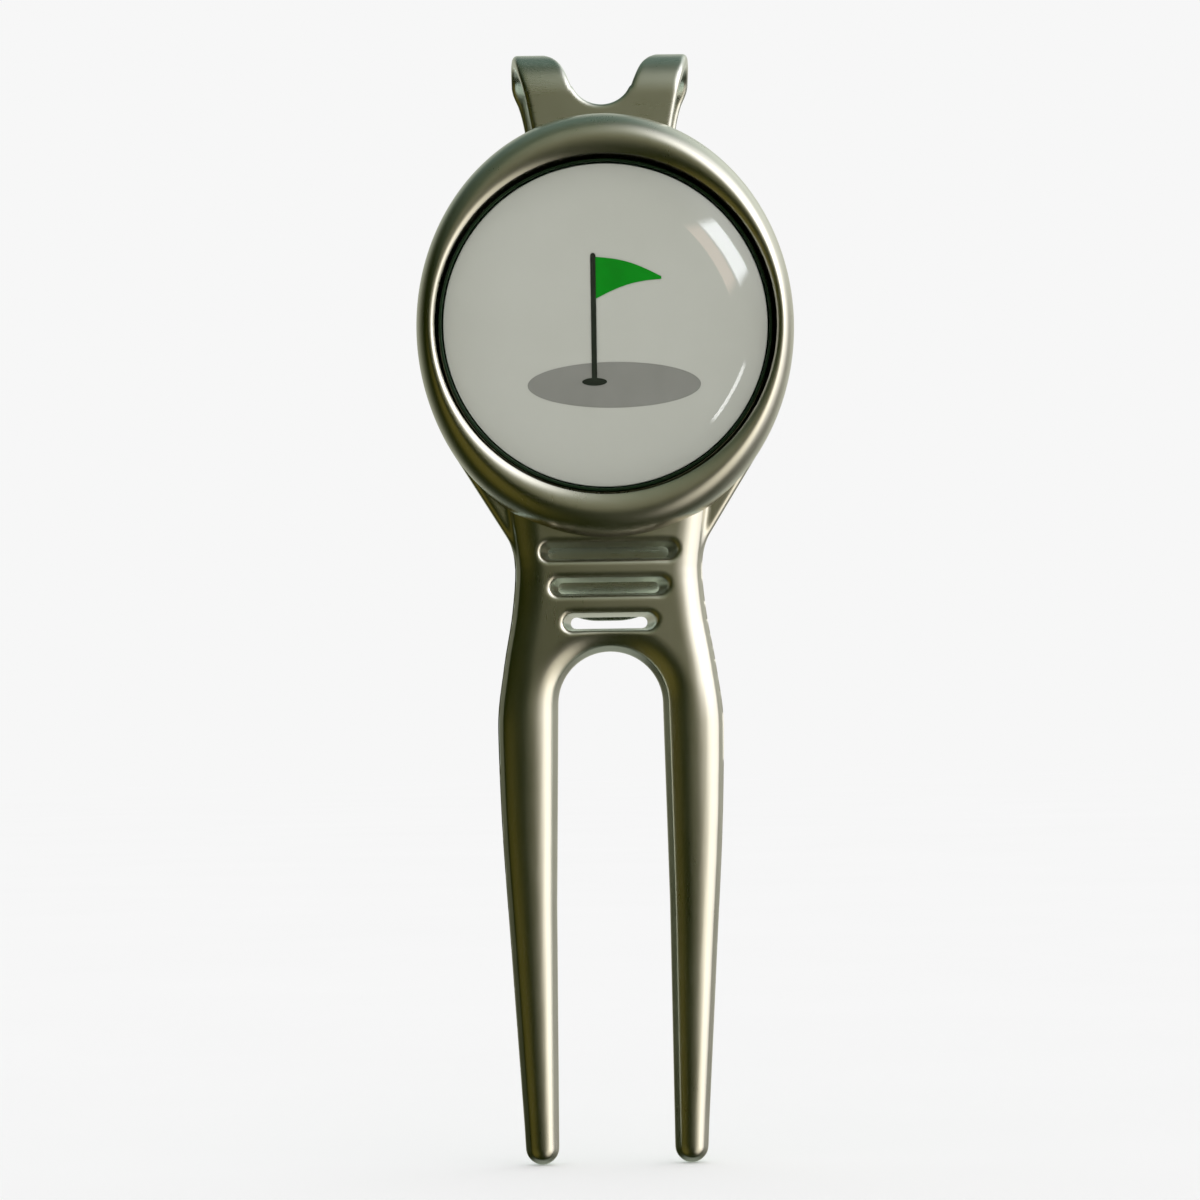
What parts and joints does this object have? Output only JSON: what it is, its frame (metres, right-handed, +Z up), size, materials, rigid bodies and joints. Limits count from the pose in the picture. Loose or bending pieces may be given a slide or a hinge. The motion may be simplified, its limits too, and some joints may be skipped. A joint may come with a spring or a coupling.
{
  "type": "divot repair tool",
  "caption": "Two-prong golf divot repair tool in satin metal with a slotted neck, a removable magnetic ball marker in an oval bezel, and a spring belt clip behind the head.",
  "frame": {"origin": "centre of the belt clip's bend, where the edge of a belt or pocket comes to rest", "axes": "+Z up along the tool from the prong tips to the clip's ears, -Y out of the front face with the marker, +X to the right seen from the front"},
  "size_m": [0.0288, 0.013, 0.086],
  "materials": {
    "satin_nickel": "satin nickel plate over a zinc casting, fine lengthwise grain",
    "clip_nickel": "satin nickel plate over spring steel, fine grain across the strip",
    "magnet": "bright nickel plate on a sintered magnet",
    "dark_nickel": "black nickel, satin",
    "print": "matt printed insert",
    "resin": "clear domed epoxy resin, glossy"
  },
  "bodies": {
    "tool": {"fork_body": "satin_nickel", "marker_magnet": "magnet", "clip_leg": "clip_nickel", "rivet_upper": "clip_nickel", "rivet_lower": "clip_nickel"},
    "marker": {"marker_disc": "dark_nickel", "marker_print": "print", "marker_dome": "resin"},
    "clip_spring": {"clip_tongue": "clip_nickel"}
  },
  "joints": [
    {"name": "marker_lift", "type": "slide", "parent": "tool", "child": "marker", "axis": [0, -1, 0], "range_m": [0, 0.008], "stiffness_N_per_m": 20},
    {"name": "clip_flex", "type": "hinge", "parent": "tool", "child": "clip_spring", "pos_m": [0, 0, 0.00305], "axis": [1, 0, 0], "range_deg": [0, 8], "stiffness_Nm_per_rad": 0.05}
  ]
}
